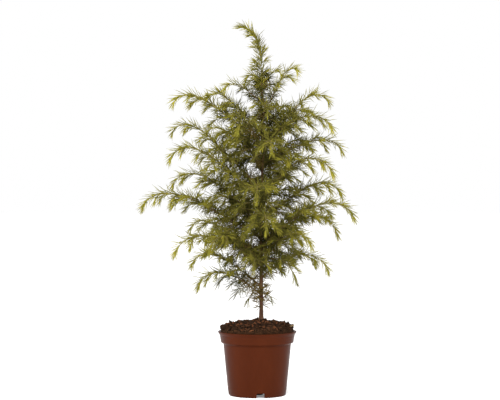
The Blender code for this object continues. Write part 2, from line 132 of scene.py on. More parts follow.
# Branches: where each one leaves the trunk (height in mm), its heading (degrees from +X, with -Y the front),
# its length in mm along the arch, the angle it climbs at first, and how late it bends over.
BRANCHES = {
    "left_0": (747, 172, 66, 78, 1.6),
    "left_1": (705, 200, 122, 38, 4.3),
    "left_2": (630, 165, 194, 47, 5.8),
    "left_3": (607, 190, 270, 38, 6.0),
    "left_4": (498, 168, 297, 45, 7.0),
    "left_5": (470, 198, 291, 42, 4.6),
    "left_6": (420, 160, 288, 40, 4.3),
    "left_7": (382, 186, 332, 30, 5.0),
    "left_8": (330, 150, 243, 34, 5.3),
    "left_9": (338, 207, 260, 22, 3.5),
    "left_10": (264, 160, 220, 36, 3.8),
    "left_11": (244, 192, 189, 38, 2.6),
    "left_12": (230, 222, 58, 42, 1.8),
    "left_13": (566, 174, 174, 40, 6.7),
    "right_1": (743, 20, 80, 59, 3.7),
    "right_2": (672, -25, 166, 62, 8.1),
    "right_3": (604, -20, 219, 39, 2.8),
    "right_4": (592, 18, 246, 52, 5.4),
    "right_5": (557, 8, 228, 27, 4.3),
    "right_6": (470, -32, 261, 51, 2.5),
    "right_7": (421, 22, 262, 37, 3.8),
    "right_8": (363, -8, 278, 40, 3.5),
    "right_9": (352, 28, 266, 39, 2.5),
    "right_10": (340, -38, 184, 39, 2.6),
    "right_11": (286, 14, 205, 38, 2.2),
    "right_12": (232, -42, 46, 50, 1.6),
    "front_1": (650, -84, 140, 40, 3.0),
    "front_2": (585, -112, 202, 42, 3.2),
    "front_3": (545, -82, 196, 42, 3.0),
    "front_4": (430, -94, 226, 40, 3.0),
    "front_5": (376, -86, 214, 38, 2.6),
    "front_6": (322, -135, 214, 38, 2.8),
    "front_7": (296, -100, 136, 38, 2.4),
    "back_1": (722, 96, 122, 44, 3.2),
    "back_2": (618, 60, 206, 46, 3.4),
    "back_3": (540, 118, 250, 43, 3.4),
    "back_4": (455, 74, 264, 43, 3.4),
    "back_5": (386, 108, 270, 40, 3.2),
    "back_6": (318, 66, 246, 38, 2.8),
    "inner_1": (302, 180, 106, 58, 2.4),
    "inner_2": (405, 156, 192, 44, 3.7),
    "inner_3": (318, -44, 144, 28, 1.2),
    "inner_4": (547, 34, 169, 40, 4.9),
}
BARE = {"left_1": 0.5, "left_10": 0.46, "right_2": 0.45}  # share of a branch's length before its first side twig
NOD = -76  # degrees, the way every tip points in the end
TIP_LENGTH = 24 * MM  # of the needles past a branch's end
LIMB_TIP_RADIUS = 0.6 * MM
LIMB_TAPER = 0.0072  # gained in radius for each unit of length back from the tip
LIMB_SWAY = 0.06
RUN_STEPS = 96

# Leader: the trunk's last shoot, which leans over to the left.
LEADER = {"heading": 184, "length": 156 * MM, "climb": 87, "bend": 4.0, "nod": -9}
LEADER_TWIG_SPACING = 7 * MM
LEADER_FULLNESS = 1.7  # of its coats of needles
LEADER_TWIG_LENGTH = (30 * MM, 16 * MM)  # from its foot to its tip

# Side twigs in two ranks, and the twiglets on them
TWIG_SPACING = 16 * MM
TWIG_THINNING = 0.7  # how much wider the spacing gets towards the branch's tip
TWIG_FIRST = 14 * MM
TWIG_END_CLEAR = 46 * MM
TWIG_SHARE = 0.3  # of the stem still ahead, gained in length
TWIG_BASE_LENGTH = 14 * MM
TWIG_SHORTEST = 20 * MM
TWIG_LONGEST = 84 * MM
TWIG_ANGLE = 48
TWIG_DROOP = 1.35
TWIG_RADIUS = 1.0 * MM
TWIG_TIP_RADIUS = 0.5 * MM
TWIGLET_SPACING = 17 * MM
TWIGLET_FROM = 44 * MM  # twigs shorter than this have none
TWIGLET_LENGTH = (12 * MM, 26 * MM)

# Needles
NEEDLE_LENGTH = 28 * MM
NEEDLE_WIDTH = 1.45 * MM
# Coats of needles on a shoot: how many to the metre, their angle to it and the spread of that in degrees, and their
# share of the full length
CLOSE_COAT = (360, 21, 7, 0.8)
OPEN_COAT = (400, 48, 11, 1.0)
TUFT_COAT = (620, 21, 8, 1.0)  # at the tip of every shoot
TUFT_REACH = 22 * MM
TIP_ANGLE = 14
TIP_REACH = 20 * MM
TIP_SHORTENING = 0.22
UPWARD_GROWTH = 0.22  # share that needles above a shoot gain, and those under it lose
UNDERSIDE_SHARE = 0.7  # of the open needles are left under a shoot
SPUR_SPACING = 6.5 * MM
SPUR_NEEDLES = 10
TRUNK_SPUR_SPACING = 5 * MM
LOWEST_SPUR = 212 * MM
SPRAY_LENGTH = 14 * MM
OLD_NEEDLES_OPEN = 12  # degrees further from the shoot on the weakest shoots
LOW_NEEDLES_OPEN = 16  # and still further in the low crown
LOW_THINNING = 0.5  # share of the open needles that the lowest shoots lack
LOW_LENGTHENING = 0.35  # share that the needles there are longer
LOW_CROWN = 310 * MM  # growth gets weaker below this height, and the needles' tints darker, partly painted shade
LOW_CROWN_REACH = 70 * MM
SHADED = 0.62  # how far out the tips of the front and inner branches count as lying

# Tints of the needles, from the old inner ones to this year's, the darker ones also painted shade deep inside and low
# in the crown: the score below which each is dealt, and its colour
TINTS = {
    "dry": (0.05, (0.102, 0.072, 0.019)),
    "inner": (0.24, (0.044, 0.042, 0.009)),
    "old": (0.40, (0.082, 0.075, 0.014)),
    "grey": (0.54, (0.124, 0.114, 0.020)),
    "mid": (0.72, (0.170, 0.155, 0.021)),
    "young": (0.94, (0.220, 0.199, 0.025)),
    "new": (9.00, (0.272, 0.245, 0.031)),
}


def unit(vectors):
    """The same vectors, each one unit long."""
    return vectors / np.linalg.norm(vectors, axis=-1, keepdims=True)


def heading_vector(degrees):
    """The level direction with this heading."""
    turn = np.radians(degrees)
    return np.stack([np.cos(turn), np.sin(turn), np.zeros_like(turn)], axis=-1)


class Surface:
    """Points and triangles that are gathered into one mesh."""

    def __init__(self):
        self.points, self.triangles, self.count = [], [], 0

    def add(self, points, triangles):
        self.points.append(np.asarray(points).reshape(-1, 3))
        self.triangles.append(np.asarray(triangles).reshape(-1, 3) + self.count)
        self.count += len(self.points[-1])

    def piece(self, name, finish):
        """The gathered mesh as an object with smooth shading."""
        points, triangles = np.vstack(self.points), np.vstack(self.triangles)
        mesh = bpy.data.meshes.new(name)
        mesh.vertices.add(len(points))
        mesh.vertices.foreach_set("co", points.astype(np.float32).ravel())
        mesh.loops.add(triangles.size)
        mesh.loops.foreach_set("vertex_index", triangles.astype(np.int32).ravel())
        mesh.polygons.add(len(triangles))
        mesh.polygons.foreach_set("loop_start", np.arange(0, triangles.size, 3, dtype=np.int32))
        mesh.update(calc_edges=True)
        mesh.shade_smooth()
        mesh.materials.append(finish)
        made = bpy.data.objects.new(name, mesh)
        bpy.context.scene.collection.objects.link(made)
        return made


def grid_triangles(rows, columns):
    """Triangles between neighbouring rings of a closed grid, with each ring running round."""
    row, column = np.meshgrid(np.arange(rows - 1), np.arange(columns), indexing="ij")
    beside = (column + 1) % columns
    a, b = row * columns + column, row * columns + beside
    c, d = b + columns, a + columns
    return np.stack([np.stack([a, b, c], -1), np.stack([a, c, d], -1)], -2).reshape(-1, 3)


class Run:
    """A curve through space, walked by its length. Its points lie evenly along it."""

    def __init__(self, points, side):
        self.points, self.side = points, side
        self.length = np.linalg.norm(np.diff(points, axis=0), axis=1).sum()

    def at(self, walked):
        """The points after these lengths, and the directions there."""
        steps = len(self.points) - 1
        place = np.clip(np.asarray(walked) / self.length, 0, 1) * steps
        i = np.minimum(place.astype(int), steps - 1)
        a, b = self.points[i], self.points[i + 1]
        return a + (b - a) * (place - i)[..., None], unit(b - a)

    def frame(self, walked):
        """The points after these lengths, the directions there and the two directions across them."""
        middle, ahead = self.at(walked)
        across = unit(self.side - (ahead @ self.side)[..., None] * ahead)
        return middle, ahead, across, np.cross(ahead, across)


def traced(start, direction, length, side):
    """The run that leaves start and goes by direction(t) at the share t of its length."""
    ahead = unit(direction((np.arange(RUN_STEPS)[:, None] + 0.5) / RUN_STEPS)) * (length / RUN_STEPS)
    return Run(np.vstack([start, start + np.cumsum(ahead, axis=0)]), side)


def arch(start, heading, length, climb, bend, nod=NOD, sway=0.0, phase=0.0):
    """The run of a branch: it climbs, arches over and nods, and sways a little sideways."""
    out = heading_vector(heading)
    side = np.cross(UP, out)

    def direction(t):
        slope = np.radians(climb + (nod - climb) * t**bend)
        level = out + side * sway * np.sin(8 * t + phase)
        return level * np.cos(slope) + UP * np.sin(slope)

    return traced(start, direction, length, side)


def side_run(parent, walked, turn, tilt, length, droop=TWIG_DROOP):
    """The run of a side twig: it leaves its parent by this turn (degrees, negative to the right) and droops."""
    root, ahead, across, rise = parent.frame(walked)
    turn = math.radians(turn)
    start = ahead * math.cos(turn) + across * math.sin(turn) + rise * tilt
    return traced(root, lambda t: start - UP * droop * t**2, length, unit(np.cross(UP, start)))


def trunk_share(height):
    return (height - TRUNK_FOOT[2]) / (TRUNK_TOP[2] - TRUNK_FOOT[2])


def trunk_axis(height):
    """The trunk's middle at this height: it leans and sways a little."""
    t = np.asarray(trunk_share(height))[..., None]
    sway = TRUNK_SWAY * np.sin(np.pi * np.clip(t, 0, 1))
    return TRUNK_FOOT + (TRUNK_TOP - TRUNK_FOOT) * t + sway * np.concatenate(
        [np.cos(9 * t), np.sin(7 * t), 0 * t], axis=-1)


def trunk_radius(height):
    """True taper with a flare at the root."""
    flare = FLARE * np.exp(-(height - TRUNK_FOOT[2]) / FLARE_REACH)
    return TRUNK_RADIUS + (TRUNK_TOP_RADIUS - TRUNK_RADIUS) * trunk_share(height) + flare


@dataclass
class Shoot:
    """One leafy axis: its run, its two radii, and how far out in the crown its root and tip lie (0 to 1)."""

    run: Run
    root_radius: float
    tip_radius: float
    inner: float
    outer: float
    old: float = 0.0  # length at its root that is old wood, with spurs
    fullness: float = 1.0  # of its coats of needles

    def radius(self, walked):
        return self.root_radius + (self.tip_radius - self.root_radius) * walked / self.run.length

    def vigour(self, walked):
        """How strong the growth is here (0 to 1): least near the trunk and on the lowest branches."""
        out = self.inner + (self.outer - self.inner) * walked / self.run.length
        return out * (1 - 0.5 * self.low(walked))

    def low(self, walked):
        """How deep in the low crown this is (0 to 1)."""
        return np.clip((LOW_CROWN - self.run.at(walked)[0][:, 2]) / LOW_CROWN_REACH, 0, 1)


def grow_branch(name, row, chance):
    """A branch's stem, its side twigs and their twiglets, as three lists of shoots."""
    height, heading, length, climb, bend = row
    height, length = height * MM, length * MM - TIP_LENGTH / 2
    start = trunk_axis(height) + heading_vector(heading) * trunk_radius(height)
    run = arch(start, heading, length, climb, bend, sway=LIMB_SWAY, phase=chance.uniform(0, 2 * np.pi))
    outer = SHADED if name.startswith(("front", "inner")) else 1.0
    stem = Shoot(run, LIMB_TIP_RADIUS + LIMB_TAPER * length, LIMB_TIP_RADIUS, 0.0, outer, 0.55 * length)
    twigs, twiglets = grow_twigs(stem, chance, BARE.get(name, 0.0) * length)
    return [stem], twigs, twiglets


def grow_twigs(stem, chance, bare):
    """Side twigs in two ranks along a stem, with twiglets on the longer ones."""
    twigs, twiglets = [], []
    walked, rank = bare + TWIG_FIRST * chance.uniform(0.6, 1.2), chance.choice((-1, 1))
    while walked < stem.run.length - TWIG_END_CLEAR:
        left = stem.run.length - walked
        reach = np.clip(TWIG_SHARE * left + TWIG_BASE_LENGTH, TWIG_SHORTEST, TWIG_LONGEST) * chance.uniform(0.8, 1.1)
        turn = rank * (TWIG_ANGLE + chance.uniform(-8, 8))
        run = side_run(stem.run, walked, turn, chance.uniform(-0.55, 0.5), reach)
        inner = stem.inner + (stem.outer - stem.inner) * walked / stem.run.length
        outer = min(stem.outer, inner + 0.8 * reach / stem.run.length)
        twigs.append(Shoot(run, TWIG_RADIUS, TWIG_TIP_RADIUS, inner, outer))
        if reach > TWIGLET_FROM:
            twiglets += grow_twiglets(twigs[-1], chance)
        rank = -rank
        walked += TWIG_SPACING * (1 + TWIG_THINNING * walked / stem.run.length) * chance.uniform(0.8, 1.2)
    return twigs, twiglets


def grow_twiglets(twig, chance):
    """Short shoots in two ranks along a side twig."""
    made, rank = [], chance.choice((-1, 1))
    for walked in np.arange(0.25 * twig.run.length, twig.run.length - 22 * MM, TWIGLET_SPACING):
        turn = rank * (TWIG_ANGLE + chance.uniform(-10, 10))
        run = side_run(twig.run, walked, turn, chance.uniform(-0.4, 0.4), chance.uniform(*TWIGLET_LENGTH), 0.5)
        inner = twig.inner + (twig.outer - twig.inner) * walked / twig.run.length
        made.append(Shoot(run, TWIG_TIP_RADIUS, TWIG_TIP_RADIUS * 0.8, inner, min(1.0, inner + 0.06)))
        rank = -rank
    return made


def grow_leader(chance):
    """The leader and its short side shoots."""
    start = TRUNK_TOP
    run = arch(start, LEADER["heading"], LEADER["length"], LEADER["climb"], LEADER["bend"], LEADER["nod"])
    leader = Shoot(run, TRUNK_TOP_RADIUS, LIMB_TIP_RADIUS * 0.8, 0.35, 0.6, fullness=LEADER_FULLNESS)
    twigs, rank = [], 1
    for walked in np.arange(4 * MM, run.length - 30 * MM, LEADER_TWIG_SPACING):
        longest, shortest = LEADER_TWIG_LENGTH
        reach = (longest + (shortest - longest) * walked / run.length) * chance.uniform(0.75, 1.1)
        side = side_run(run, walked, rank * chance.uniform(35, 62), chance.uniform(-0.8, 0.8), reach, 0.8)
        twigs.append(Shoot(side, TWIG_TIP_RADIUS, TWIG_TIP_RADIUS * 0.8, 0.35, 0.6))
        rank = -rank
    return [leader], twigs


class Needles:
    """The needles of the whole plant: root, direction, curl, length and score of each."""

    def __init__(self):
        self.rows = []

    def add(self, root, direction, curl, length, score):
        self.rows.append(np.column_stack([root, direction, curl, length, score]))

    def clothe(self, shoot, chance, first=0.0):
        """Needles all round a shoot: close ones, longer ones that stand off it, and a tuft at its tip."""
        length = shoot.run.length
        tuft_from = max(first, length - TUFT_REACH)
        for coat, start in ((CLOSE_COAT, first), (OPEN_COAT, first), (TUFT_COAT, tuft_from)):
            walked = np.linspace(start, length, max(2, int((length - start) * coat[0] * shoot.fullness)))
            self.coat(shoot, walked, coat, chance)

    def coat(self, shoot, walked, coat, chance):
        """One coat of needles in a spiral, shorter and closer to the shoot near its tip."""
        _, angle, spread, size = coat
        count = len(walked)
        middle, ahead, across, rise = shoot.run.frame(walked)
        turn = GOLDEN_ANGLE * np.arange(count) + chance.normal(0, 0.35, count)
        away = across * np.cos(turn)[:, None] + rise * np.sin(turn)[:, None]
        nearness = np.exp(-(shoot.run.length - walked) / TIP_REACH)
        vigour = shoot.vigour(walked)
        if coat is OPEN_COAT:
            angle = angle + OLD_NEEDLES_OPEN * (1 - vigour) + LOW_NEEDLES_OPEN * shoot.low(walked)
        lean = np.radians(angle + (TIP_ANGLE - angle) * nearness + chance.normal(0, spread, count))
        direction = ahead * np.cos(lean)[:, None] + away * np.sin(lean)[:, None]
        direction = unit(direction + chance.normal(0, 0.06, (count, 3)))
        length = NEEDLE_LENGTH * size * chance.uniform(0.84, 1.06, count) * (1 - TIP_SHORTENING * nearness)
        length *= 1 + UPWARD_GROWTH * away[:, 2] + LOW_LENGTHENING * shoot.low(walked)
        curl = ahead * 0.06 - away * 0.04 + chance.normal(0, 0.03, (count, 3))
        root = middle + away * (0.6 * shoot.radius(walked))[:, None]
        score = self.score(shoot, walked, chance)
        luck = chance.uniform(0, 1, count)
        kept = {
            CLOSE_COAT: luck < (vigour - 0.25) / 0.4,
            OPEN_COAT: luck < np.where(away[:, 2] > -0.2, 1, UNDERSIDE_SHARE) * (1 - LOW_THINNING * shoot.low(walked)),
            TUFT_COAT: luck < 0.25 + 0.9 * vigour,
        }[coat]
        self.add(root[kept], direction[kept], curl[kept], length[kept], score[kept])

    def spurs(self, shoot, chance, first, last, spacing=SPUR_SPACING):
        """Rosettes of needles on the old wood of a shoot."""
        spots = np.arange(first, last, spacing)
        if not len(spots):
            return
        spots = spots + chance.uniform(-0.3, 0.3, len(spots)) * spacing
        middle, ahead, across, rise = shoot.run.frame(spots)
        turn = GOLDEN_ANGLE * np.arange(len(spots)) + chance.uniform(0, 6)
        away = across * np.cos(turn)[:, None] + rise * np.sin(turn)[:, None]
        axis = np.repeat(unit(away + 0.35 * ahead), SPUR_NEEDLES, axis=0)
        flat = np.repeat(unit(np.cross(ahead, away)), SPUR_NEEDLES, axis=0)
        stand = np.cross(axis, flat)
        count = len(axis)
        ring = chance.uniform(0, 2 * np.pi, count)
        spread = np.radians(chance.uniform(12, 68, count))
        sideways = flat * np.cos(ring)[:, None] + stand * np.sin(ring)[:, None]
        direction = axis * np.cos(spread)[:, None] + sideways * np.sin(spread)[:, None]
        length = NEEDLE_LENGTH * chance.uniform(0.78, 1.0, count)
        root = np.repeat(middle + away * shoot.radius(spots)[:, None], SPUR_NEEDLES, axis=0)
        curl = chance.normal(0, 0.04, (count, 3))
        # a step lower than their shoot, so darker: older needles, and painted shade deep in the crown
        score = np.repeat(self.score(shoot, spots, chance) - 0.12, SPUR_NEEDLES)
        self.add(root, direction, curl, length, score)

    @staticmethod
    def score(shoot, walked, chance):
        """How young the needles are and how deep in the crown they lie, the same over each spray: a low score near the
        trunk and low down deals a darker tint, painted shade as well as older needles.
        """
        spray = (walked / SPRAY_LENGTH).astype(int)
        luck = chance.normal(0, 0.10, spray.max() + 1)[spray]
        freshness = np.exp(-(shoot.run.length - spray * SPRAY_LENGTH) / (24 * MM))
        vigour = shoot.vigour(walked)
        return 0.12 + 0.6 * vigour + 0.38 * freshness * (0.3 + 0.7 * vigour) + luck - 0.2 * shoot.low(walked)

    def pieces(self):
        """One or more pieces for each tint."""
        rows = np.vstack(self.rows)
        made, lowest = [], -9.0
        for tint, (highest, colour) in TINTS.items():
            dealt = rows[(rows[:, 10] > lowest) & (rows[:, 10] <= highest)]
            lowest = highest
            finish = needle_finish("needles_" + tint, colour)
            parts = max(1, math.ceil(len(dealt) * len(NEEDLE_TRIANGLES) / MOST_TRIANGLES))
            for i, share in enumerate(np.array_split(dealt, parts)):
                surface = Surface()
                surface.add(*needle_mesh(share))
                made.append(surface.piece(f"needles_{tint}_{i + 1}", finish))
        return made


# A needle is a spindle of three sides: two rings and a tip.
NEEDLE_RINGS = ((0.0, 0.7), (0.6, 1.0))  # share of its length, share of its width
NEEDLE_TRIANGLES = np.array(
    [(k, (k + 1) % 3, 3 + (k + 1) % 3) for k in range(3)]
    + [(k, 3 + (k + 1) % 3, 3 + k) for k in range(3)]
    + [(3 + k, 3 + (k + 1) % 3, 6) for k in range(3)]
)


def needle_mesh(rows):
    """Points and triangles of these needles."""
    root, direction, curl, length = rows[:, :3], rows[:, 3:6], rows[:, 6:9], rows[:, 9:10]
    across = unit(np.cross(direction, np.roll(direction, 1, axis=1) + (0.3, 0.1, 0.2)))
    rise = np.cross(direction, across)
    points = np.empty((len(rows), 7, 3))
    points[:, 6] = root + length * (direction + curl)
    for ring, (share, width) in enumerate(NEEDLE_RINGS):
        middle = root + length * (direction * share + curl * share**2)
        for k in range(3):
            turn = 2 * np.pi * k / 3
            edge = across * np.cos(turn) + rise * np.sin(turn)
            points[:, 3 * ring + k] = middle + edge * (NEEDLE_WIDTH / 2 * width)
    triangles = NEEDLE_TRIANGLES[None] + (np.arange(len(rows)) * 7)[:, None, None]
    return points, triangles


def add_tube(surface, run, walked, radii, sides, relief=None):
    """A closed tube along a run. relief(ring, side) holds the share added to each point's radius."""
    middle, ahead, across, rise = run.frame(walked)
    turn = 2 * np.pi * np.arange(sides) / sides
    out = across[:, None] * np.cos(turn)[None, :, None] + rise[:, None] * np.sin(turn)[None, :, None]
    swell = 1 if relief is None else 1 + relief[..., None]
    rings = middle[:, None] + out * np.asarray(radii)[:, None, None] * swell
    count = len(walked)
    points = [*rings.reshape(-1, 3), middle[0], middle[-1] + ahead[-1] * radii[-1]]
    ends = [(count * sides, (k + 1) % sides, k) for k in range(sides)]
    last = (count - 1) * sides
    ends += [(last + k, last + (k + 1) % sides, count * sides + 1) for k in range(sides)]
    surface.add(points, np.vstack([grid_triangles(count, sides), ends]))


def knobs(chance, rings, sides, depth):
    """Uneven bark of a thin twig."""
    return chance.uniform(-depth, depth, (rings, sides))


def bark_relief(run, walked, sides, grain):
    """Long fissures, plates and small cushions of bark, as shares of the radius."""
    relief = np.empty((len(walked), sides))
    for i, along in enumerate(walked):
        for k in range(sides):
            turn = 2 * math.pi * k / sides
            x, y = math.cos(turn), math.sin(turn)
            plate = noise.noise((2.2 * x, 2.2 * y, along / (9 * MM)))
            fissure = 1 - 2.4 * abs(noise.noise((4.5 * x, 4.5 * y, along / (16 * MM) + 7)))
            cushion = noise.noise((7 * x, 7 * y, along / (2.2 * MM)))
            relief[i, k] = grain * (0.5 * plate - 0.45 * max(fissure, 0) + 0.4 * cushion)
    return relief


def make_trunk(finish):
    """The trunk in one piece, with its flare, its bark and a collar under each branch."""
    heights = np.linspace(TRUNK_FOOT[2] - 1.2 * MM, TRUNK_TOP[2] + 2 * MM, TRUNK_RINGS)
    run = Run(trunk_axis(heights), np.array((1.0, 0.0, 0.0)))
    walked = np.linspace(0, run.length, TRUNK_RINGS)
    radii = trunk_radius(heights)
    relief = bark_relief(run, walked, TRUNK_SIDES, 0.16)
    turn = 2 * np.pi * np.arange(TRUNK_SIDES) / TRUNK_SIDES
    for height, heading, length, _, _ in BRANCHES.values():
        off = (heights - height * MM + 1 * MM) / COLLAR_REACH
        facing = np.clip(np.cos(turn - math.radians(heading)), 0, 1) ** 2
        swell = COLLAR_SWELL * min(1, length / 200)
        relief += np.exp(-off**2)[:, None] * facing[None] * (swell / radii)[:, None]
    surface = Surface()
    add_tube(surface, run, walked, radii, TRUNK_SIDES, relief)
    return surface.piece("trunk_bark", finish)


def root_swell(walked):
    """A branch's own share of its collar."""
    return 1 + 0.45 * np.exp(-walked / (5 * MM))


def make_boughs(stems, finish):
    """The inner parts of the branches, with the relief of old bark."""
    surface = Surface()
    for stem in stems:
        last = 0.42 * stem.run.length
        walked = np.arange(0, last, 1.6 * MM)
        radii = stem.radius(walked) * root_swell(walked)
        add_tube(surface, stem.run, walked, radii, 14, bark_relief(stem.run, walked, 14, 0.2))
    return surface.piece("bough_bark", finish)


def make_stems(stems, chance, finish):
    """The outer, younger parts of the branches."""
    surface = Surface()
    for stem in stems:
        walked = np.arange(0.4 * stem.run.length, stem.run.length, 3 * MM)
        add_tube(surface, stem.run, walked, stem.radius(walked), 8, knobs(chance, len(walked), 8, 0.13))
    return surface.piece("stem_bark", finish)


def make_twigs(name, shoots, chance, sides, step, finish):
    """Thin tubes for side twigs or twiglets."""
    surface = Surface()
    for shoot in shoots:
        walked = np.linspace(0, shoot.run.length, max(3, int(shoot.run.length / step)))
        add_tube(surface, shoot.run, walked, shoot.radius(walked), sides, knobs(chance, len(walked), sides, 0.15))
    return surface.piece(name, finish)


def arc_corners(profile, radius, steps=4):
    """The same outline with its corners rounded, as far as the sides beside them allow."""
    points = [Vector(point) for point in profile]
    rounded = [points[0]]
    for before, corner, after in zip(points, points[1:], points[2:]):
        back, on = before - corner, after - corner
        reach = min(radius, back.length * 0.45, on.length * 0.45)
        a, b = corner + back.normalized() * reach, corner + on.normalized() * reach
        for i in range(steps + 1):
            t = i / steps
            rounded.append(a * (1 - t) ** 2 + corner * 2 * t * (1 - t) + b * t**2)
    return [*rounded, points[-1]]


def lathe(profile, segments):
    """Points and triangles turned round Z from (radius, height) pairs that start and end on the axis."""
    rings = np.array([heading_vector(360 * np.arange(segments) / segments) * radius + UP * height
                      for radius, height in profile[1:-1]])
    points = [*rings.reshape(-1, 3), (0, 0, profile[0][1]), (0, 0, profile[-1][1])]
    first, last = len(points) - 2, len(points) - 1
    end = (len(rings) - 1) * segments
    caps = [(first, (k + 1) % segments, k) for k in range(segments)]
    caps += [(last, end + k, end + (k + 1) % segments) for k in range(segments)]
    return points, np.vstack([grid_triangles(len(rings), segments), caps])


def pot_inside(inset):
    """The pot's inner outline from its mouth down to its floor, this far inside the outer one."""
    return [
        (BAND_TOP_RADIUS - inset, POT_HEIGHT),
        (BAND_FOOT_RADIUS - inset, BAND_FOOT_HEIGHT + inset / 2),
        (SHOULDER_RADIUS - inset, SHOULDER_HEIGHT + inset / 2),
        (HEEL_RADIUS - inset, FLOOR_UNDERSIDE + inset),
    ]


def make_pot(finish):
    """The pot with rounded edges, a fine line round its band and round-cornered drainage notches."""
    line = BAND_TOP_RADIUS + (BAND_FOOT_RADIUS - BAND_TOP_RADIUS) * 0.4
    profile = [
        (0, 0),
        (HUB_RADIUS, 0),
        (HUB_RADIUS, FLOOR_UNDERSIDE),
        (FOOT_RADIUS - FOOT_WIDTH, FLOOR_UNDERSIDE),
        (FOOT_RADIUS - FOOT_WIDTH, 0),
        (FOOT_RADIUS, 0),
        (HEEL_RADIUS, HEEL_HEIGHT),
        (SHOULDER_RADIUS, SHOULDER_HEIGHT),
        (BAND_FOOT_RADIUS, BAND_FOOT_HEIGHT),
        (line, BAND_LINE_HEIGHT - 1.2 * MM),
        (line + BAND_LINE_DEPTH, BAND_LINE_HEIGHT),
        (BAND_TOP_RADIUS, POT_HEIGHT - LIP_DEPTH),
        (LIP_RADIUS, POT_HEIGHT - LIP_EDGE),
        (LIP_RADIUS - LIP_EDGE, POT_HEIGHT),
        *pot_inside(POT_WALL),
        (0, FLOOR_UNDERSIDE + POT_WALL),
    ]
    surface = Surface()
    surface.add(*lathe(arc_corners(profile, 1.4 * MM), POT_SEGMENTS))
    pot = surface.piece("pot_shell", finish)
    cutters = bpy.data.collections.new("notches")
    for i in range(NOTCHES):
        cutters.objects.link(make_notch(NOTCH_HEADING + 360 * i / NOTCHES))
    step = pot.modifiers.new("notches", "BOOLEAN")
    step.operand_type = "COLLECTION"
    step.collection = cutters
    step.solver = "EXACT"
    cut = bpy.data.meshes.new_from_object(pot.evaluated_get(bpy.context.evaluated_depsgraph_get()))
    pot.modifiers.clear()
    pot.data = cut
    for cutter in list(cutters.objects):
        bpy.data.objects.remove(cutter)
    bpy.data.collections.remove(cutters)
    pot.data.set_sharp_from_angle(angle=math.radians(35))
    return pot


def make_notch(heading):
    """A block with two round upper corners that cuts one drainage notch."""
    half = NOTCH_WIDTH / 2
    outline = [(-half, -5 * MM), (-half, NOTCH_HEIGHT - NOTCH_CORNER)]
    for i in range(1, 6):
        turn = math.radians(180 - 90 * i / 5)
        outline.append((-half + NOTCH_CORNER * (1 + math.cos(turn)),
                        NOTCH_HEIGHT - NOTCH_CORNER * (1 - math.sin(turn))))
    outline += [(-u, v) for u, v in reversed(outline)]
    along, across = heading_vector(heading), heading_vector(heading + 90)
    points = []
    for depth in (FOOT_RADIUS - NOTCH_DEPTH / 2, FOOT_RADIUS + NOTCH_DEPTH / 2):
        points += [along * depth + across * u + UP * v for u, v in outline]
    count = len(outline)
    sides = [(k + count, (k + 1) % count + count, (k + 1) % count, k) for k in range(count)]
    mesh = bpy.data.meshes.new("notch")
    mesh.from_pydata(points, [], [tuple(range(count)), tuple(reversed(range(count, 2 * count))), *sides])
    return bpy.data.objects.new("notch", mesh)


def heap_height(radius):
    """Height of the heap: a flat dome above the lip, with a mound in the middle."""
    dome = HEAP_RISE * math.sqrt(1 - (radius / HEAP_RADIUS) ** 4)
    return POT_HEIGHT + dome + MOUND_RISE * math.exp(-((radius / MOUND_REACH) ** 2))


def heap_lump(x, y):
    """Uneven ground: broad lumps, crumbs and grains."""
    place = Vector((x, y, 0)) / MM
    broad = noise.noise(place / 24) * 4.5
    crumbs = noise.noise(place / 9) * 4.6
    grains = noise.noise(place / 3.2) * 2.2
    return (broad + crumbs + grains) * MM


def heap_surface(x, y):
    """Height of the compost over this point, kept up round the trunk's foot and down inside the lip."""
    radius = math.hypot(x, y)
    edge = min(1.0, max(0.0, (HEAP_RADIUS - 5 * MM - radius) / (12 * MM)))
    near_trunk = math.exp(-(math.hypot(x - TRUNK_FOOT[0], y - TRUNK_FOOT[1]) / (11 * MM)) ** 2)
    free = heap_height(radius) + heap_lump(x, y) * (0.35 + 0.65 * edge)
    return free * (1 - near_trunk) + (TRUNK_FOOT[2] + 1.5 * MM + 0.3 * heap_lump(x, y)) * near_trunk


def make_compost(finish):
    """The compost: it fills the pot and heaps up above its lip."""
    inset = POT_WALL + 0.3 * MM
    rim = BAND_TOP_RADIUS - inset
    inside = list(reversed(pot_inside(inset)))
    profile = [(0, inside[0][1]), *inside]
    profile += [(rim * (1 - i / HEAP_RINGS), POT_HEIGHT + 1 * MM) for i in range(HEAP_RINGS)]
    profile.append((0, POT_HEIGHT))
    points, triangles = lathe(profile, HEAP_SEGMENTS)
    points = np.array([tuple(point) for point in points])
    top = (points[:, 2] > POT_HEIGHT - 0.1 * MM) & (np.hypot(points[:, 0], points[:, 1]) < rim - 0.1 * MM)
    for i in np.flatnonzero(top):
        points[i, 2] = heap_surface(points[i, 0], points[i, 1])
    surface = Surface()
    surface.add(points, triangles)
    return surface.piece("compost_heap", finish)


CHIP_BOX = np.array([(x, y, z) for z in (-1, 1) for y in (-1, 1) for x in (-1, 1)], dtype=float)
CHIP_FACES = np.array([(0, 2, 3), (0, 3, 1), (4, 5, 7), (4, 7, 6), (0, 1, 5), (0, 5, 4),
                       (2, 6, 7), (2, 7, 3), (0, 4, 6), (0, 6, 2), (1, 3, 7), (1, 7, 5)])


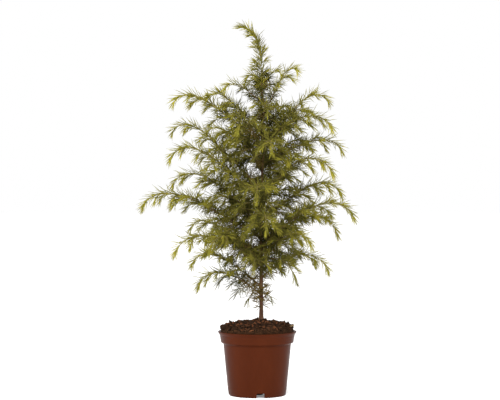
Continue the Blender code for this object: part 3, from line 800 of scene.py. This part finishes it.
def make_chips(kind, chance):
    """Flat, uneven chips strewn over the compost, half sunk into it."""
    count, colour = CHIP_KINDS[kind]
    surface = Surface()
    for _ in range(count):
        radius = (BAND_TOP_RADIUS - POT_WALL - 1.5 * MM) * math.sqrt(chance.uniform(0, 1))
        x, y, _ = heading_vector(chance.uniform(0, 360)) * radius
        length = chance.uniform(*CHIP_LENGTH) * chance.uniform(0.4, 1.0)
        size = np.array((length, length * chance.uniform(0.4, 0.75), length * chance.uniform(0.12, 0.35))) / 2
        corners = CHIP_BOX * size * chance.uniform(0.55, 1.15, (8, 3))
        axes, _ = np.linalg.qr(chance.normal(0, 1, (3, 3)) + 1.2 * np.eye(3))
        lift = chance.uniform(-0.25, 0.45) * length * 0.5
        surface.add(corners @ axes.T + (x, y, heap_surface(x, y) + lift), CHIP_FACES)
    piece = surface.piece("compost_chips_" + kind, chip_finish("chips_" + kind, colour))
    piece.data.shade_flat()
    return piece


class Finish:
    """A Principled material whose nodes are added step by step."""

    def __init__(self, name, roughness, specular=0.5):
        self.material = bpy.data.materials.new(name)
        self.material.use_nodes = True
        self.tree = self.material.node_tree
        self.shader = self.tree.nodes["Principled BSDF"]
        self.shader.inputs["Roughness"].default_value = roughness
        self.shader.inputs["Specular IOR Level"].default_value = specular
        self.place = self.tree.nodes.new("ShaderNodeTexCoord").outputs["Object"]

    def stretched(self, scale):
        """The object's own coordinates, squeezed by this much along each axis."""
        node = self.tree.nodes.new("ShaderNodeMapping")
        node.inputs["Scale"].default_value = scale
        self.tree.links.new(self.place, node.inputs["Vector"])
        return node.outputs["Vector"]

    def noise(self, scale, detail=3.0, stretch=(1, 1, 1)):
        """Noise with so many lumps to the metre."""
        node = self.tree.nodes.new("ShaderNodeTexNoise")
        node.inputs["Scale"].default_value = scale
        node.inputs["Detail"].default_value = detail
        self.tree.links.new(self.stretched(stretch), node.inputs["Vector"])
        return node.outputs["Fac"]

    def ramp(self, value, stops):
        """Colours spread over the value, as (place, colour) pairs."""
        node = self.tree.nodes.new("ShaderNodeValToRGB")
        elements = node.color_ramp.elements
        while len(elements) < len(stops):
            elements.new(0.5)
        for element, (place, colour) in zip(elements, stops):
            element.position = place
            element.color = (*colour, 1)
        self.tree.links.new(value, node.inputs["Fac"])
        return node.outputs["Color"]

    def colour(self, value, stops):
        self.tree.links.new(self.ramp(value, stops), self.shader.inputs["Base Color"])

    def uneven_roughness(self, value, low, high):
        node = self.tree.nodes.new("ShaderNodeMapRange")
        node.inputs["To Min"].default_value = low
        node.inputs["To Max"].default_value = high
        self.tree.links.new(value, node.inputs["Value"])
        self.tree.links.new(node.outputs["Result"], self.shader.inputs["Roughness"])

    def bump(self, value, height, strength=1.0):
        """Relief of this height in metres."""
        node = self.tree.nodes.new("ShaderNodeBump")
        node.inputs["Strength"].default_value = strength
        node.inputs["Distance"].default_value = height
        self.tree.links.new(value, node.inputs["Height"])
        self.tree.links.new(node.outputs["Normal"], self.shader.inputs["Normal"])


def shade(colour, factor):
    return tuple(channel * factor for channel in colour)


def needle_finish(name, colour):
    """Waxy needles, each a little lighter or darker than the next."""
    finish = Finish(name, 0.6, 0.02)
    green = (colour[0] * 0.66, colour[1] * 0.74, colour[2] * 0.8)
    yellow = (colour[0] * 1.28, colour[1] * 1.18, colour[2])
    finish.colour(finish.noise(160, 2), [(0.3, green), (0.5, colour), (0.72, yellow)])
    finish.bump(finish.noise(1400, 2), 0.1 * MM, 0.4)
    return finish.material


def chip_finish(name, colour):
    """Torn bark and peat fibre."""
    finish = Finish(name, 0.85, 0.06)
    grain = finish.noise(420, 5)
    finish.colour(grain, [(0.3, shade(colour, 0.5)), (0.55, colour), (0.75, shade(colour, 1.5))])
    finish.bump(finish.noise(900, 4), 0.5 * MM, 0.8)
    return finish.material


def bark_finish(name, dark, mid, light, lumps):
    """Bark with long streaks and pale flecks."""
    finish = Finish(name, 0.8, 0.08)
    streaks = finish.noise(lumps, 6, stretch=(1, 1, 0.25))
    finish.colour(streaks, [(0.30, dark), (0.52, mid), (0.74, light)])
    finish.bump(finish.noise(lumps * 3, 6, stretch=(1, 1, 0.3)), 0.35 * MM, 0.9)
    return finish.material


def pot_finish():
    """Satin moulded plastic, a little cloudy, with a fine grain and faint scuffs."""
    finish = Finish("pot_plastic", 0.36, 0.04)
    cloud = finish.noise(14, 4, stretch=(1, 1, 0.4))
    finish.colour(cloud, POT_TINTS)
    finish.uneven_roughness(finish.noise(60, 5, stretch=(1, 1, 0.5)), 0.30, 0.46)
    finish.bump(finish.noise(1100, 3), 0.06 * MM, 0.35)
    return finish.material


def compost_finish():
    """Dark, damp and crumbly."""
    finish = Finish("compost", 0.9, 0.04)
    crumbs = finish.noise(260, 6)
    finish.colour(crumbs, COMPOST_TINTS)
    finish.bump(finish.noise(520, 6), 1.2 * MM, 1.0)
    return finish.material


def make_stage():
    """A pale floor, soft light and the camera."""
    bpy.context.scene.view_settings.view_transform = "Standard"
    floor_mesh = bpy.data.meshes.new("floor")
    ring = heading_vector(360 * np.arange(96) / 96) * FLOOR_RADIUS - UP * 0.4 * MM
    floor_mesh.from_pydata([tuple(point) for point in ring], [], [tuple(range(96))])
    floor = bpy.data.objects.new("floor", floor_mesh)
    bpy.context.scene.collection.objects.link(floor)
    paint = Finish("pale_floor", 0.8, 0.1)
    paint.colour(paint.noise(3, 2), [(0.3, (0.90, 0.90, 0.90)), (0.7, (0.93, 0.93, 0.93))])
    paint.shader.inputs["Emission Color"].default_value = (1, 1, 1, 1)
    paint.shader.inputs["Emission Strength"].default_value = 0.2
    floor_mesh.materials.append(paint.material)

    world = bpy.data.worlds.new("white_studio")
    world.use_nodes = True
    world.node_tree.nodes["Background"].inputs["Color"].default_value = (1, 1, 1, 1)
    world.node_tree.nodes["Background"].inputs["Strength"].default_value = WORLD_STRENGTH
    bpy.context.scene.world = world
    for name, (place, width, height, power) in LIGHTS.items():
        add_light(name, Vector(place), width, height, power)

    camera = bpy.data.objects.new("camera", bpy.data.cameras.new("camera"))
    camera.location = CAMERA_PLACE
    camera.rotation_euler = (math.radians(90 - CAMERA_DIP), 0, 0)
    camera.data.lens = CAMERA_LENS
    bpy.context.scene.collection.objects.link(camera)
    bpy.context.scene.camera = camera


FLOOR_RADIUS = 20.0
WORLD_STRENGTH = 1.0
LIGHT_AIM = Vector((0, 0, 0.42))
LIGHTS = {
    "front_light": ((-0.3, -3.0, 2.3), 0.7, 1.4, 150),
    "left_light": ((-2.4, -1.2, 1.3), 1.2, 2.0, 60),
    "right_light": ((2.5, -0.8, 1.2), 1.0, 2.0, 30),
}


def add_light(name, place, width, height, power):
    """A soft rectangular light that faces the plant."""
    lamp = bpy.data.lights.new(name, "AREA")
    lamp.shape = "RECTANGLE"
    lamp.size, lamp.size_y = width, height
    lamp.energy = power
    light = bpy.data.objects.new(name, lamp)
    light.location = place
    light.rotation_euler = (LIGHT_AIM - place).to_track_quat("-Z", "Y").to_euler()
    bpy.context.scene.collection.objects.link(light)


def grow_plant():
    """All shoots of the plant, by kind."""
    stems, twigs, twiglets = [], [], []
    for i, (name, row) in enumerate(BRANCHES.items()):
        found = grow_branch(name, row, np.random.default_rng((SEED, i)))
        for kept, new in zip((stems, twigs, twiglets), found):
            kept += new
    leader, leader_twigs = grow_leader(np.random.default_rng((SEED, 100)))
    return stems, twigs, twiglets, leader, leader_twigs


def clothe_plant(stems, twigs, twiglets, leader, leader_twigs):
    """The needles of every shoot and of the trunk."""
    chance = np.random.default_rng((SEED, 200))
    needles = Needles()
    for stem in stems:
        needles.clothe(stem, chance, first=0.12 * stem.run.length)
        needles.spurs(stem, chance, 6 * MM, stem.old)
    for shoot in [*twigs, *twiglets, *leader, *leader_twigs]:
        needles.clothe(shoot, chance)
    heights = np.linspace(LOWEST_SPUR, TRUNK_TOP[2], RUN_STEPS)
    trunk = Shoot(Run(trunk_axis(heights), np.array((1.0, 0.0, 0.0))), 4 * MM, TRUNK_TOP_RADIUS, 0.0, 0.5)
    needles.spurs(trunk, chance, 0, trunk.run.length, TRUNK_SPUR_SPACING)
    needles.clothe(trunk, chance, first=0.8 * trunk.run.length)
    return needles


def dress():
    """Every piece, attached to the root body, with the nodes it stands for hidden."""
    nodes = sorted(frame["nodes"])
    boughs = [name for name in nodes if name.startswith("bough_")]
    foliage = [name for name in nodes if name.startswith("foliage_")]
    stems, twigs, twiglets, leader, leader_twigs = grow_plant()
    old_bark = bark_finish("old_bark", (0.030, 0.015, 0.009), (0.068, 0.033, 0.018), (0.125, 0.070, 0.041), 150)
    bough_bark = bark_finish("bough_bark", (0.045, 0.025, 0.013), (0.095, 0.055, 0.028), (0.165, 0.105, 0.058), 190)
    young_bark = bark_finish("young_bark", (0.080, 0.060, 0.022), (0.135, 0.105, 0.038), (0.190, 0.155, 0.060), 260)
    chance = np.random.default_rng((SEED, 300))
    pieces = [
        (make_pot(pot_finish()), "pot_plastic", ["pot"]),
        (make_compost(compost_finish()), "compost", ["compost"]),
        (make_trunk(old_bark), "bark", ["trunk"]),
        (make_boughs(stems, bough_bark), "bark", boughs),
        (make_stems([*stems, *leader], chance, young_bark), "bark", foliage),
        (make_twigs("twig_bark", [*twigs, *leader_twigs], chance, 6, 5 * MM, young_bark), "bark", foliage),
        (make_twigs("twiglet_bark", twiglets, chance, 5, 6 * MM, young_bark), "bark", foliage),
    ]
    pieces += [(make_chips(kind, chance), "compost", ["compost"]) for kind in CHIP_KINDS]
    needles = clothe_plant(stems, twigs, twiglets, leader, leader_twigs)
    pieces += [(piece, "needles", foliage) for piece in needles.pieces()]
    for piece, slot, replaced in pieces:
        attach(piece, "root")
        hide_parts(*replaced)


dress()
make_stage()
